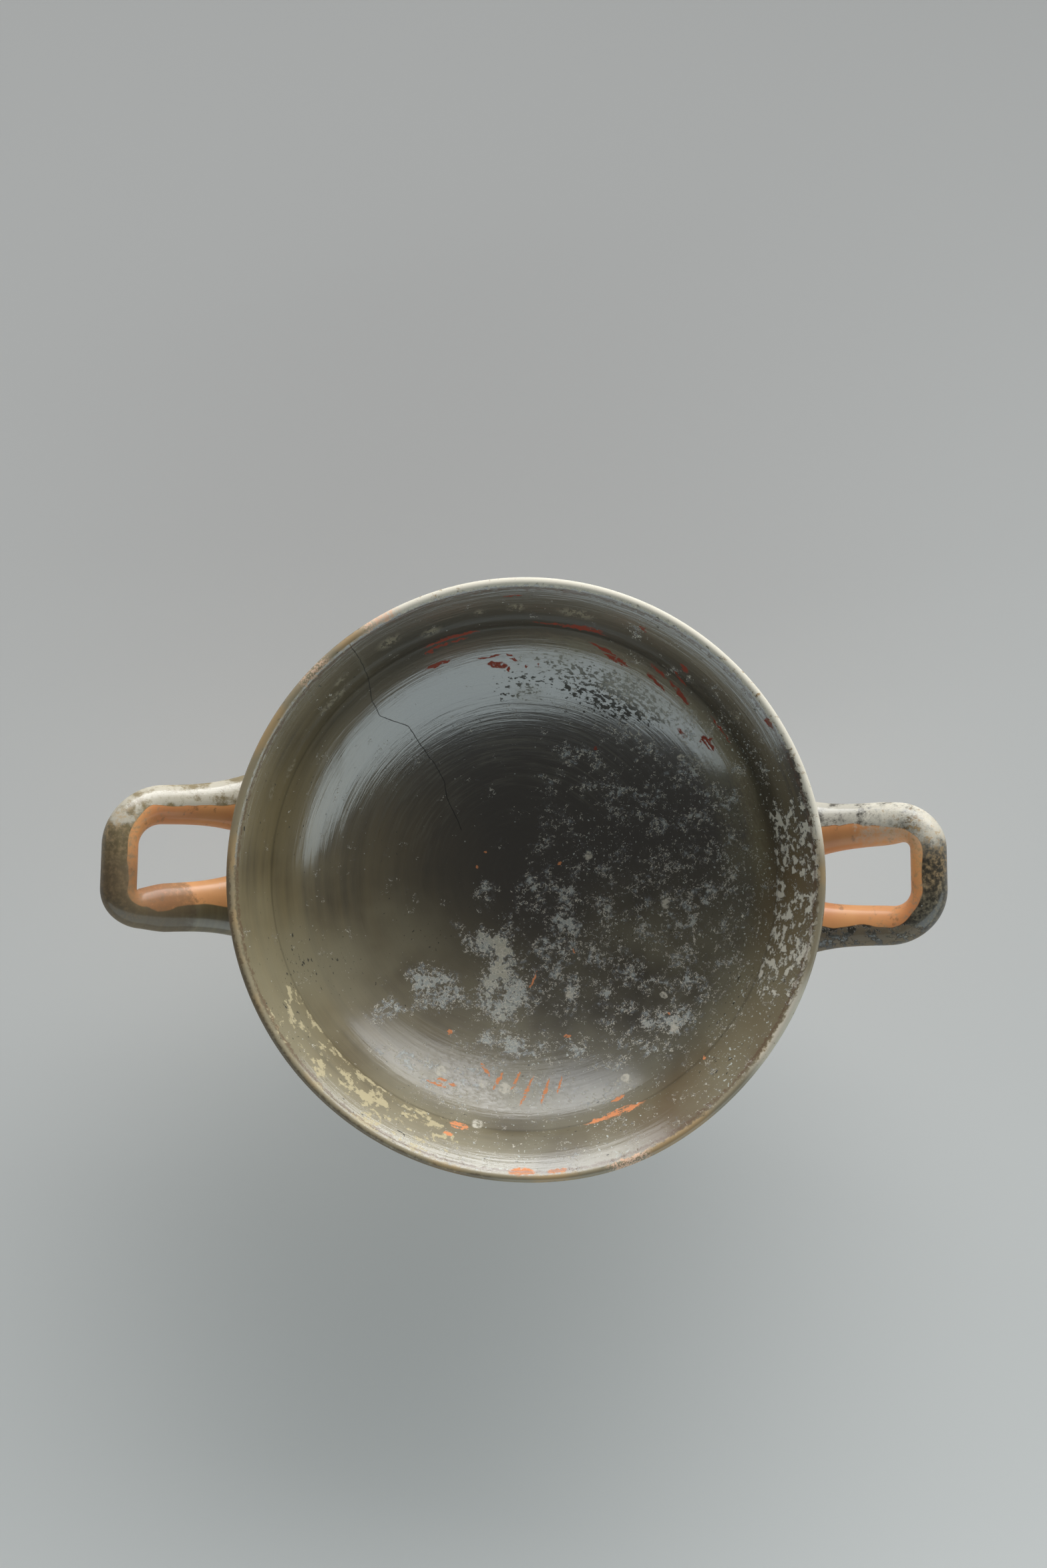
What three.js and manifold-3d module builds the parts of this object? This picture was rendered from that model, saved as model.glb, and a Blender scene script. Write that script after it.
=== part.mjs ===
// Greek kylix: a shallow two-handled drinking cup on a short stem, fired clay under black gloss.
// The thrown bowl, the stem with its foot and the two pulled handles are luted together and fired
// as one piece, so the cup is one solid. Millimetres, +Z up; the origin is on the table, on the
// axis the cup was thrown on. The handles lie along X.
import * as THREE from "three";
import { mergeVertices } from "three/addons/utils/BufferGeometryUtils.js";
import Module from "manifold-3d";

// Driving dimensions.
const RIM_RADIUS = 90;
const HEIGHT = 78;
const LIP_HEIGHT = 15; // rim down to the ridge where the lip meets the bowl
const LIP_THICKNESS = 2.8;
const RIDGE_RADIUS = 76.4; // inside the cup
const FLOOR_Z = 33; // the bowl's floor on the axis, inside
const FLOOR_THICKNESS = 4.8;
const WALL_THICKNESS = 3.5; // at the top of the bowl, measured level
const FOOT_RADIUS = 39.5;
const FOOT_EDGE = 7.8; // height of the foot's rounded edge
const RING_INNER_RADIUS = 31.5; // of the flat ring that the cup stands on
const RING_OUTER_RADIUS = FOOT_RADIUS - 3;
const HOLLOW_HEIGHT = 17; // under the foot, up into the stem
const FILLET_Z = 15.1; // top of the raised fillet round the stem's base
const STEM_RADIUS = 10;
const STEM_END_RADIUS = 24; // where the stem has swept out into the bowl
const HANDLE_THICKNESS = 9.8; // up and down
const HANDLE_BAR_WIDTH = 11; // of the far side, seen from above
const HANDLE_ROOT = { reach: 74, z: 54.5 }; // the middle line where it leaves the bowl
const HANDLE_TIP = { reach: 121, z: 69.5 };
const ROOT_FLARE = 5; // added to half the handle's width where it meets the bowl

// Each handle's middle line seen from above, x away from the axis: where its +Y and -Y arms leave
// the bowl, its two corners and their radii, and how wide its arms are.
const HANDLES = [
  {
    side: -1,
    roots: [22.2, -7.4],
    corners: [[121, 22.4], [122.2, -8.9]],
    radii: [12, 6.5],
    widths: [11.8, 14.6],
  },
  {
    side: 1,
    roots: [10.9, -16],
    corners: [[121.4, 17.5], [122.1, -14.1]],
    radii: [8.5, 11],
    widths: [13.2, 12.1],
  },
];

// Steps of the facets.
const TURNS = 64; // round the axis
const BOWL_STEPS = 9;
const LIP_STEPS = 6;
const RIM_STEPS = 4;
const HANDLE_SIDES = 12;
const STRAIGHT_STEPS = 6;
const CORNER_STEPS = 6;

// Measures that follow from them.
const RIDGE_Z = HEIGHT - LIP_HEIGHT;
const SHOULDER_RADIUS = RIDGE_RADIUS + WALL_THICKNESS;
const UNDERSIDE_Z = FLOOR_Z - FLOOR_THICKNESS;

const wasm = await Module();
wasm.setup();

const point = (r, z) => new THREE.Vector2(r, z);
const smooth = (from, to, x) => THREE.MathUtils.smoothstep(x, from, to);
const bump = (angle, centre, width) => {
  const away = THREE.MathUtils.euclideanModulo(angle - centre + 180, 360) - 180;
  return Math.exp(-((away / width) ** 2));
};

// A bowl surface: the part of an ellipse that starts level at floorZ on the axis, has the half
// width `reach`, and passes through (edgeRadius, edgeZ).
function bowlCurve(floorZ, reach, edgeRadius, edgeZ) {
  const edgeTurn = Math.asin(edgeRadius / reach);
  const depth = (edgeZ - floorZ) / (1 - Math.cos(edgeTurn));
  return {
    at: (turn) => point(reach * Math.sin(turn), floorZ + depth * (1 - Math.cos(turn))),
    turnAt: (radius) => Math.asin(radius / reach),
    edgeTurn,
  };
}
const bowlInside = bowlCurve(FLOOR_Z, RIDGE_RADIUS * 1.1, RIDGE_RADIUS, RIDGE_Z);
const bowlOutside = bowlCurve(UNDERSIDE_Z, SHOULDER_RADIUS * 1.09, SHOULDER_RADIUS, RIDGE_Z - 1.2);
const midWall = bowlCurve(
  (FLOOR_Z + UNDERSIDE_Z) / 2,
  RIDGE_RADIUS * 1.12,
  (RIDGE_RADIUS + SHOULDER_RADIUS) / 2,
  RIDGE_Z - 0.6,
);

function bowlPoints(curve, fromRadius, steps) {
  const first = curve.turnAt(fromRadius);
  return Array.from({ length: steps + 1 }, (_, i) =>
    curve.at(first + ((curve.edgeTurn - first) * i) / steps),
  );
}

// The lip's middle line flares from steep at the ridge to a slant at the rim.
const lipMiddle = new THREE.CubicBezierCurve(
  point(RIDGE_RADIUS + LIP_THICKNESS / 2, RIDGE_Z),
  point(RIDGE_RADIUS + LIP_THICKNESS / 2 + 1.7, RIDGE_Z + 4),
  point(RIM_RADIUS - 5.8, HEIGHT - 6),
  point(RIM_RADIUS - LIP_THICKNESS / 2, HEIGHT - LIP_THICKNESS / 2),
);

// A point of the lip's surface: side +1 is the outside, -1 the inside.
function lipPoint(share, side) {
  const along = lipMiddle.getTangent(share);
  const half = (side * LIP_THICKNESS) / 2;
  return lipMiddle.getPoint(share).add(point(along.y * half, -along.x * half));
}

function lipPoints() {
  const shares = Array.from({ length: LIP_STEPS }, (_, i) => i / LIP_STEPS);
  const slant = lipMiddle.getTangent(1).angle();
  const rim = new THREE.EllipseCurve(
    RIM_RADIUS - LIP_THICKNESS / 2,
    HEIGHT - LIP_THICKNESS / 2,
    LIP_THICKNESS / 2,
    LIP_THICKNESS / 2,
    slant - Math.PI / 2,
    slant + Math.PI / 2,
  );
  return [
    ...shares.map((share) => lipPoint(share, 1)),
    ...rim.getPoints(RIM_STEPS),
    ...shares.reverse().map((share) => lipPoint(share, -1)),
  ];
}

// The foot and stem from the hollow underneath, over the resting ring and the rounded edge, up the
// fillet ring and the stem to where the bowl begins.
function footPoints(bowlStart) {
  const hollow = new THREE.CubicBezierCurve(
    point(0, HOLLOW_HEIGHT),
    point(8, HOLLOW_HEIGHT),
    point(6, 5.5),
    point(RING_INNER_RADIUS - 2.5, 1.6),
  );
  const edge = new THREE.CubicBezierCurve(
    point(RING_OUTER_RADIUS, 0),
    point(FOOT_RADIUS + 1, 0.8),
    point(FOOT_RADIUS + 1, FOOT_EDGE - 0.8),
    point(RING_OUTER_RADIUS, FOOT_EDGE),
  );
  const top = new THREE.QuadraticBezierCurve(
    point(RING_OUTER_RADIUS, FOOT_EDGE),
    point(FOOT_RADIUS / 2, FOOT_EDGE + 0.8),
    point(STEM_RADIUS + 3.4, FILLET_Z - 2.5),
  );
  const fillet = new THREE.QuadraticBezierCurve(
    point(STEM_RADIUS + 3.6, FILLET_Z - 2.3),
    point(STEM_RADIUS + 4.4, FILLET_Z),
    point(STEM_RADIUS + 1.8, FILLET_Z),
  );
  const stem = new THREE.CubicBezierCurve(
    point(STEM_RADIUS + 1.5, FILLET_Z),
    point(STEM_RADIUS - 1.4, FILLET_Z + 5),
    point(STEM_RADIUS + 0.5, bowlStart.y - 2.6),
    bowlStart,
  );
  return [
    ...hollow.getPoints(6),
    point(RING_INNER_RADIUS, 0),
    ...edge.getPoints(5),
    ...top.getPoints(4).slice(1),
    ...fillet.getPoints(3),
    ...stem.getPoints(7).slice(0, -1),
  ];
}

// A closed three.js geometry as a manifold-3d solid.
function solidOf(geometry) {
  geometry.deleteAttribute("normal");
  geometry.deleteAttribute("uv");
  const merged = mergeVertices(geometry, 1e-4);
  const corners = merged.index.array;
  const kept = [];
  for (let i = 0; i < corners.length; i += 3) {
    const [a, b, c] = corners.slice(i, i + 3);
    if (a !== b && b !== c && c !== a) kept.push(a, b, c);
  }
  const mesh = new wasm.Mesh({
    numProp: 3,
    vertProperties: merged.attributes.position.array,
    triVerts: new Uint32Array(kept),
  });
  return new wasm.Manifold(mesh);
}

// A solid turned about +Z from a profile of (radius, height) points.
function turned(profile) {
  return new THREE.LatheGeometry(profile, TURNS).rotateX(Math.PI / 2);
}

// The cup has sagged a little out of round in drying and firing, more towards the rim.
function outOfRound(geometry) {
  const place = geometry.attributes.position;
  for (let i = 0; i < place.count; i++) {
    const [x, y, z] = [place.getX(i), place.getY(i), place.getZ(i)];
    const angle = THREE.MathUtils.radToDeg(Math.atan2(y, x));
    const share = smooth(FLOOR_Z, HEIGHT, z);
    const oval = 0.0045 * Math.cos(THREE.MathUtils.degToRad(2 * (angle - 98)));
    const bulge = 0.0065 * bump(angle, -72, 16) - 0.0045 * bump(angle, -38, 18);
    const wider = 1 + share * (oval + bulge);
    const higher = 0.35 * share * Math.cos(THREE.MathUtils.degToRad(2 * angle + 50));
    place.setXYZ(i, x * wider, y * wider, z + higher);
  }
  return geometry;
}

// A handle's middle line seen from above: in along the +Y arm, round two corners, and back.
function loopSeenFromAbove({ roots, corners, radii }) {
  const buried = 46; // inside the bowl, where the roll is cut away again
  const [first, last] = corners.map(([x, y]) => point(x, y));
  const [start, end] = roots.map((y) => point(buried, y));
  const stops = [start, first, last, end];
  const loop = new THREE.Path();
  loop.moveTo(start.x, start.y);
  for (const i of [1, 2]) {
    const corner = stops[i];
    const into = corner.clone().sub(stops[i - 1]).normalize();
    const out = stops[i + 1].clone().sub(corner).normalize();
    const from = corner.clone().addScaledVector(into, -radii[i - 1]);
    const to = corner.clone().addScaledVector(out, radii[i - 1]);
    const round = 0.55; // of the way to the corner, as for a quarter circle
    const [c1, c2] = [from.clone().lerp(corner, round), to.clone().lerp(corner, round)];
    loop.lineTo(from.x, from.y);
    loop.bezierCurveTo(c1.x, c1.y, c2.x, c2.y, to.x, to.y);
  }
  loop.lineTo(end.x, end.y);
  return loop;
}

// How far out of the bowl a point of a handle is: 0 at the wall, 1 at the tip.
function shareOut(reach) {
  return Math.max(0, reach - HANDLE_ROOT.reach) / (HANDLE_TIP.reach - HANDLE_ROOT.reach);
}

// A handle's middle line rises from the bowl to its tip, steeper the further out it is.
function handleZ(reach) {
  return HANDLE_ROOT.z + (HANDLE_TIP.z - HANDLE_ROOT.z) * shareOut(reach) ** 1.6;
}

// One handle: a clay roll bent into a square loop that leaves the bowl under the lip and curves up
// towards its tip, as a cylinder whose rings are carried along the loop.
function handle(loop, side, widths) {
  const stations = loop.curves.flatMap((curve, i) => {
    const steps = curve.isLineCurve ? STRAIGHT_STEPS : CORNER_STEPS;
    const shares = Array.from({ length: steps + 1 }, (_, k) => k / steps).slice(i ? 1 : 0);
    return shares.map((share) => [curve.getPoint(share), curve.getTangent(share), i]);
  });
  const last = stations.length - 1;
  const roll = new THREE.CylinderGeometry(1, 1, 1, HANDLE_SIDES, last);
  const place = roll.attributes.position;
  for (let i = 0; i < place.count; i++) {
    const [at, heading, stretch] = stations[Math.round((0.5 - place.getY(i)) * last)];
    const slope = handleZ(at.x + 0.5) - handleZ(at.x - 0.5);
    const along = new THREE.Vector3(side * heading.x, heading.y, slope * heading.x).normalize();
    const across = new THREE.Vector3(0, 0, 1).cross(along).normalize();
    const up = along.clone().cross(across);
    const arm = widths[stretch < 2 ? 0 : 1];
    const out = shareOut(at.x);
    const width = THREE.MathUtils.lerp(arm, HANDLE_BAR_WIDTH, smooth(0.72, 0.98, out)) / 2;
    const flare = ROOT_FLARE * Math.exp(-((out * 3.1) ** 2));
    const spot = new THREE.Vector3(side * at.x, at.y, handleZ(at.x));
    spot.addScaledVector(across, place.getX(i) * (width + flare));
    spot.addScaledVector(up, place.getZ(i) * (HANDLE_THICKNESS / 2 + flare / 2));
    place.setXYZ(i, spot.x, spot.y, spot.z);
  }
  return roll;
}

function kylix() {
  const bowlStart = bowlOutside.at(bowlOutside.turnAt(STEM_END_RADIUS));
  const profile = [
    ...footPoints(bowlStart),
    ...bowlPoints(bowlOutside, bowlStart.x, BOWL_STEPS),
    ...lipPoints(),
    ...bowlPoints(bowlInside, 0, BOWL_STEPS).reverse(),
  ];
  const body = solidOf(outOfRound(turned(profile)));
  const insideMidWall = [
    ...bowlPoints(midWall, 0, BOWL_STEPS),
    point(RIDGE_RADIUS, HEIGHT),
    point(0, HEIGHT),
  ];
  const core = solidOf(outOfRound(turned(insideMidWall)));
  return HANDLES.reduce((cup, shape) => {
    const roll = handle(loopSeenFromAbove(shape), shape.side, shape.widths);
    return cup.add(solidOf(roll).subtract(core));
  }, body);
}

// A manifold-3d solid as a three.js geometry.
function geometryOf(solid) {
  const { vertProperties, triVerts } = solid.getMesh();
  const geometry = new THREE.BufferGeometry();
  geometry.setAttribute("position", new THREE.BufferAttribute(vertProperties, 3));
  geometry.setIndex(new THREE.BufferAttribute(triVerts, 1));
  return geometry;
}

const blackGloss = new THREE.MeshStandardMaterial({
  color: 0x38352b,
  roughness: 0.32,
  metalness: 0,
});
const cup = new THREE.Mesh(geometryOf(kylix()), blackGloss);
cup.name = "kylix";

const group = new THREE.Group();
group.add(cup);
export default group;
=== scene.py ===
"""Greek kylix: the fired cup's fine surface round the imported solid, on a pale floor.

The cup is one piece of fired clay under black gloss. Lengths below are in millimetres, as on the
solid, and become metres when the mesh is made. Places on the cup are given by the angle about its
axis, in degrees from +X towards +Y, and the radius seen from above.
"""

import math

import bmesh
import bpy
import numpy as np
from mathutils import Matrix, Vector


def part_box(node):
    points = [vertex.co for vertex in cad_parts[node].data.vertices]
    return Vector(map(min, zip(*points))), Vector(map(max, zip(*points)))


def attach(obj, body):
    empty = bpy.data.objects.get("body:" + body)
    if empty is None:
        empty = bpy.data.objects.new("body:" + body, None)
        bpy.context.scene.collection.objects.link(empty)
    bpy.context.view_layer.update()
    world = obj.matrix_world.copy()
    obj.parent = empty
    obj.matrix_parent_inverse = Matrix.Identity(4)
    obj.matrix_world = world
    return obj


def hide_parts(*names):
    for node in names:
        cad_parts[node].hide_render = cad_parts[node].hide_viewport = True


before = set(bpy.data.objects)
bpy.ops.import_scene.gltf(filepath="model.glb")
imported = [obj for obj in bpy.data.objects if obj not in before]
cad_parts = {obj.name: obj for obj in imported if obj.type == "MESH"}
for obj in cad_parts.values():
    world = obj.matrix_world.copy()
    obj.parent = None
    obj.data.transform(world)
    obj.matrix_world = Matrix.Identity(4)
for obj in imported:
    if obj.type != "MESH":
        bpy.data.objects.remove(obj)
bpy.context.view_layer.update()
node_low, node_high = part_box("kylix")

MM = 0.001

# The cup's form, as on the solid.
RIM_RADIUS = 90
HEIGHT = 78
LIP_HEIGHT = 15
LIP_THICKNESS = 2.8
RIDGE_RADIUS = 76.4
FLOOR_Z = 33
FLOOR_THICKNESS = 4.8
WALL_THICKNESS = 3.5
FOOT_RADIUS = 39.5
FOOT_EDGE = 7.8
RING_INNER_RADIUS = 31.5
RING_OUTER_RADIUS = FOOT_RADIUS - 3
HOLLOW_HEIGHT = 17
FILLET_Z = 15.1
STEM_RADIUS = 10
STEM_END_RADIUS = 24
HANDLE_THICKNESS = 9.8
HANDLE_BAR_WIDTH = 11
ROOT_REACH, ROOT_Z = 74, 54.5
TIP_REACH, TIP_Z = 121, 69.5
ROOT_FLARE = 5
RIDGE_Z = HEIGHT - LIP_HEIGHT
SHOULDER_RADIUS = RIDGE_RADIUS + WALL_THICKNESS
UNDERSIDE_Z = FLOOR_Z - FLOOR_THICKNESS

# Each handle: its side, where its +Y and -Y arms leave the bowl, its corners and their radii, and
# how wide its arms are.
HANDLES = (
    (-1, (22.2, -7.4), ((121, 22.4), (122.2, -8.9)), (12, 6.5), (11.8, 14.6)),
    (1, (10.9, -16), ((121.4, 17.5), (122.1, -14.1)), (8.5, 11), (13.2, 12.1)),
)

# The bowl's outside, inside and core are parts of ellipses wider than its edge by these factors;
# the core's is of the ridge's radius.
OUTSIDE_REACH = 1.09
INSIDE_REACH = 1.1
CORE_REACH = 1.12

# The sag at the rim: the share by which it is oval and the angle where it is widest; bulges, each
# with its share, its angle and its width in degrees; and how uneven the rim's height is.
OVAL, OVAL_ANGLE = 0.0045, 98
BULGES = ((0.0065, -72, 16), (-0.0045, -38, 18))
UNEVEN, UNEVEN_TURN = 0.35, 50

# How steeply a handle's rise grows towards its tip, and how fast the flare at its roots dies out.
RISE_POWER = 1.6
FLARE_FALL = 3.1

# Steps of the fine mesh, and how many points are compared with a curve at a time.
TURNS = 320
HANDLE_SIDES = 40
BLOCK = 4000

# A handle's bends are drawn this share of the way to the corner. The clay at its roots is smeared
# out this far, in this many passes; nothing nearer the axis or lower than this is touched.
CORNER_PULL = 0.55
SMEAR_REACH = 4.5
SMEAR_PASSES = 30
SMEAR_FROM_X, SMEAR_FROM_Z = 55, 36

# A point farther than this from the body's profile is on a handle.
BODY_GAP = 0.25

# How the gloss reflects, where nothing below says otherwise.
GLOSS = {"IOR": 1.5, "Coat Roughness": 0.13, "Coat IOR": 2.2}

# The camera's lens, its distance from the middle of the rim, how far it stands to the side, and the
# place in the rim's plane that it looks at, in metres.
LENS = 90
SENSOR_WIDTH = 36
CAMERA_DISTANCE = 1.1698
CAMERA_SIDEWAYS = (-0.055, 0.039)
CAMERA_AIM = (-0.00112, 0.02866, 0)

# Each soft panel: its place, what it faces, its width and height, how bright it is, its colour, and
# how wide its light spreads in degrees. The rest of the room is dim and white.
PANELS = {
    "softbox": ((0.16, 0.75, 0.40), (0, 0, 0.56), (1.35, 0.64), 14, (0.97, 0.99, 1), 110),
    "wall": ((0.1, -0.53, 0.32), (-0.02, 0, 0.32), (3.4, 0.48), 1.3, (0.84, 0.96, 0.98), 180),
    "fill": ((0, -0.52, 0.36), (0, -0.52, 0), (1.1, 0.35), 3, (1, 1, 1), 70),
}
ROOM_LIGHT = 0.08
FLOOR_HALF = 4


# ---------------------------------------------------------------- curves and small helpers


def bezier(*points, steps, skip_first=False):
    """Points along a Bezier curve of any degree."""
    share = np.linspace(0, 1, steps + 1)[:, None]
    level = [np.asarray(p, float)[None, :] + 0 * share for p in points]
    while len(level) > 1:
        level = [a + (b - a) * share for a, b in zip(level, level[1:])]
    return level[0][1:] if skip_first else level[0]


def smooth(low, high, value):
    share = np.clip((value - low) / (high - low), 0, 1)
    return share * share * (3 - 2 * share)


def bump(angle, centre, width):
    """A soft bump of height 1 about an angle, in degrees."""
    away = (angle - centre + 180) % 360 - 180
    return np.exp(-((away / width) ** 2))


def bowl_curve(floor_z, reach, edge_radius, edge_z, from_radius, steps):
    """Part of an ellipse that is level at floor_z on the axis and ends at the bowl's edge."""
    edge = math.asin(edge_radius / reach)
    depth = (edge_z - floor_z) / (1 - math.cos(edge))
    turn = np.linspace(math.asin(from_radius / reach), edge, steps + 1)
    return np.stack([reach * np.sin(turn), floor_z + depth * (1 - np.cos(turn))], -1)


# ---------------------------------------------------------------- the cup's body


def lip_middle(steps):
    half = LIP_THICKNESS / 2
    return bezier(
        (RIDGE_RADIUS + half, RIDGE_Z),
        (RIDGE_RADIUS + half + 1.7, RIDGE_Z + 4),
        (RIM_RADIUS - 5.8, HEIGHT - 6),
        (RIM_RADIUS - half, HEIGHT - half),
        steps=steps,
    )


def lip_points():
    """The lip's outside, its rounded rim and its inside."""
    middle = lip_middle(26)
    along = np.gradient(middle, axis=0)
    along /= np.linalg.norm(along, axis=1)[:, None]
    side = np.stack([along[:, 1], -along[:, 0]], -1) * LIP_THICKNESS / 2
    slant = math.atan2(along[-1, 1], along[-1, 0])
    turn = slant + np.linspace(-math.pi / 2, math.pi / 2, 14)[1:-1]
    rim = middle[-1] + np.stack([np.cos(turn), np.sin(turn)], -1) * LIP_THICKNESS / 2
    return np.concatenate([middle + side, rim, (middle - side)[::-1]])


def foot_points(bowl_start):
    """From the hollow under the foot, over the resting ring and the edge, up the stem."""
    return np.concatenate([
        bezier(
            (0, HOLLOW_HEIGHT), (8, HOLLOW_HEIGHT), (6, 5.5), (RING_INNER_RADIUS - 2.5, 1.6),
            steps=20,
        ),
        bezier((RING_INNER_RADIUS - 1, 0.7), (RING_INNER_RADIUS, 0), steps=1),
        bezier((RING_INNER_RADIUS + 1.5, 0), (RING_OUTER_RADIUS - 1, 0), steps=2),
        bezier(
            (RING_OUTER_RADIUS, 0), (FOOT_RADIUS + 1, 0.8), (FOOT_RADIUS + 1, FOOT_EDGE - 0.8),
            (RING_OUTER_RADIUS, FOOT_EDGE), steps=16,
        ),
        bezier(
            (RING_OUTER_RADIUS, FOOT_EDGE), (FOOT_RADIUS / 2, FOOT_EDGE + 0.8),
            (STEM_RADIUS + 3.4, FILLET_Z - 2.5), steps=18, skip_first=True,
        ),
        bezier(
            (STEM_RADIUS + 3.6, FILLET_Z - 2.3), (STEM_RADIUS + 4.4, FILLET_Z),
            (STEM_RADIUS + 1.8, FILLET_Z), steps=6,
        ),
        bezier(
            (STEM_RADIUS + 1.5, FILLET_Z), (STEM_RADIUS - 1.4, FILLET_Z + 5),
            (STEM_RADIUS + 0.5, bowl_start[1] - 2.6), bowl_start, steps=16,
        )[:-1],
    ])


def body_profile():
    """The whole outline turned about the axis, and the index of the rim's crest in it."""
    outside = bowl_curve(
        UNDERSIDE_Z, SHOULDER_RADIUS * OUTSIDE_REACH, SHOULDER_RADIUS, RIDGE_Z - 1.2,
        STEM_END_RADIUS, 34,
    )
    inside = bowl_curve(FLOOR_Z, RIDGE_RADIUS * INSIDE_REACH, RIDGE_RADIUS, RIDGE_Z, 0, 62)
    start = np.concatenate([foot_points(outside[0]), outside])
    lip = lip_points()
    crest = len(start) + int(np.argmax(lip[:, 1]))
    return np.concatenate([start, lip, inside[::-1]]), crest


def sag(points):
    """How much wider and higher each point is made by the cup's slight sag in drying and firing."""
    x, y, z = points.T
    angle = np.degrees(np.arctan2(y, x))
    share = smooth(FLOOR_Z, HEIGHT, z)
    oval = OVAL * np.cos(np.radians(2 * (angle - OVAL_ANGLE)))
    bulge = sum(size * bump(angle, centre, width) for size, centre, width in BULGES)
    higher = UNEVEN * share * np.cos(np.radians(2 * angle + UNEVEN_TURN))
    return 1 + share * (oval + bulge), higher


def out_of_round(points):
    wider, higher = sag(points)
    x, y, z = points.T
    return np.stack([x * wider, y * wider, z + higher], -1)


def turned(profile, turns):
    """A closed mesh turned about +Z from a profile that starts and ends on the axis."""
    angles = np.linspace(0, 2 * math.pi, turns, endpoint=False)
    rings = profile[1:-1]
    r = np.repeat(rings[:, 0], turns)
    z = np.repeat(rings[:, 1], turns)
    a = np.tile(angles, len(rings))
    points = np.stack([r * np.cos(a), r * np.sin(a), z], -1)
    first, last = len(points), len(points) + 1
    points = np.concatenate([points, [(0, 0, profile[0][1]), (0, 0, profile[-1][1])]])
    faces = []
    top = (len(rings) - 1) * turns
    for k in range(turns):
        n = (k + 1) % turns
        faces.append((first, n, k))
        faces.append((last, top + k, top + n))
        for ring in range(len(rings) - 1):
            here, above = ring * turns, (ring + 1) * turns
            faces.append((here + k, here + n, above + n, above + k))
    return out_of_round(points), faces


# ---------------------------------------------------------------- the handles


def share_out(reach):
    return np.maximum(0, reach - ROOT_REACH) / (TIP_REACH - ROOT_REACH)


def handle_z(reach):
    return ROOT_Z + (TIP_Z - ROOT_Z) * share_out(reach) ** RISE_POWER


def loop_from_above(roots, corners, radii, buried=46):
    """A handle's middle line seen from above, with the part of it that each point is on."""
    stops = [np.array(p, float) for p in ((buried, roots[0]), *corners, (buried, roots[1]))]
    pieces, parts = [stops[0][None]], [[0]]
    here = stops[0]
    for k, radius in enumerate(radii):
        corner = stops[k + 1]
        into = (corner - stops[k]) / np.linalg.norm(corner - stops[k])
        out = (stops[k + 2] - corner) / np.linalg.norm(stops[k + 2] - corner)
        start, end = corner - into * radius, corner + out * radius
        straight = bezier(here, start, steps=40 if k == 0 else 12, skip_first=True)
        bend = bezier(
            start, start + (corner - start) * CORNER_PULL, end + (corner - end) * CORNER_PULL, end,
            steps=22, skip_first=True,
        )
        pieces += [straight, bend]
        parts += [[2 * k] * len(straight), [2 * k + 1] * len(bend)]
        here = end
    straight = bezier(here, stops[3], steps=40, skip_first=True)
    return np.concatenate([*pieces, straight]), np.concatenate([*parts, [4] * len(straight)])


class Handle:
    """A clay roll bent into a square loop: its middle line, and the frame and size of each ring."""

    def __init__(self, side, roots, corners, radii, widths):
        line, part = loop_from_above(roots, corners, radii)
        reach, y = line.T
        self.side = side
        self.reach = reach
        self.centre = np.stack([side * reach, y, handle_z(reach)], -1)
        along = np.gradient(self.centre, axis=0)
        self.along = along / np.linalg.norm(along, axis=1)[:, None]
        across = np.cross((0, 0, 1), self.along)
        self.across = across / np.linalg.norm(across, axis=1)[:, None]
        self.up = np.cross(self.along, self.across)
        out = share_out(reach)
        arm = np.where(part < 2, *widths)
        narrowing = smooth(0.72, 0.98, out)
        flare = ROOT_FLARE * np.exp(-((out * FLARE_FALL) ** 2))
        self.half_width = (arm + (HANDLE_BAR_WIDTH - arm) * narrowing) / 2 + flare
        self.half_height = HANDLE_THICKNESS / 2 + flare / 2
        self.bar = smooth(0.80, 1.0, out)

    def mesh(self):
        turn = np.linspace(0, 2 * math.pi, HANDLE_SIDES, endpoint=False)
        width = self.across[:, None] * (self.half_width[:, None] * np.cos(turn))[..., None]
        height = self.up[:, None] * (self.half_height[:, None] * np.sin(turn))[..., None]
        points = (self.centre[:, None] + width + height).reshape(-1, 3)
        faces = []
        for ring in range(len(self.centre) - 1):
            here, there = ring * HANDLE_SIDES, (ring + 1) * HANDLE_SIDES
            for k in range(HANDLE_SIDES):
                n = (k + 1) % HANDLE_SIDES
                faces.append((here + k, there + k, there + n, here + n))
        last = (len(self.centre) - 1) * HANDLE_SIDES
        faces.append(tuple(range(HANDLE_SIDES)))
        faces.append(tuple(last + k for k in reversed(range(HANDLE_SIDES))))
        return points, faces

    def local(self, points):
        """For each point: how far out of the section it is (1 on its surface), its place from the
        outer side of the loop (-1) to the inner (1), and the index of the nearest ring."""
        near = np.empty(len(points), int)
        for start in range(0, len(points), BLOCK):
            block = points[start:start + BLOCK]
            gap = ((block[:, None] - self.centre[None]) ** 2).sum(-1)
            near[start:start + BLOCK] = gap.argmin(1)
        away = points - self.centre[near]
        a = (away * self.across[near]).sum(-1) / self.half_width[near]
        b = (away * self.up[near]).sum(-1) / self.half_height[near]
        return np.hypot(a, b), -self.side * a, near


# ---------------------------------------------------------------- joining and smoothing


def new_object(name, points, faces):
    mesh = bpy.data.meshes.new(name)
    mesh.from_pydata((np.asarray(points) * MM).tolist(), [], faces)
    mesh.validate()
    obj = bpy.data.objects.new(name, mesh)
    bpy.context.scene.collection.objects.link(obj)
    return obj


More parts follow.
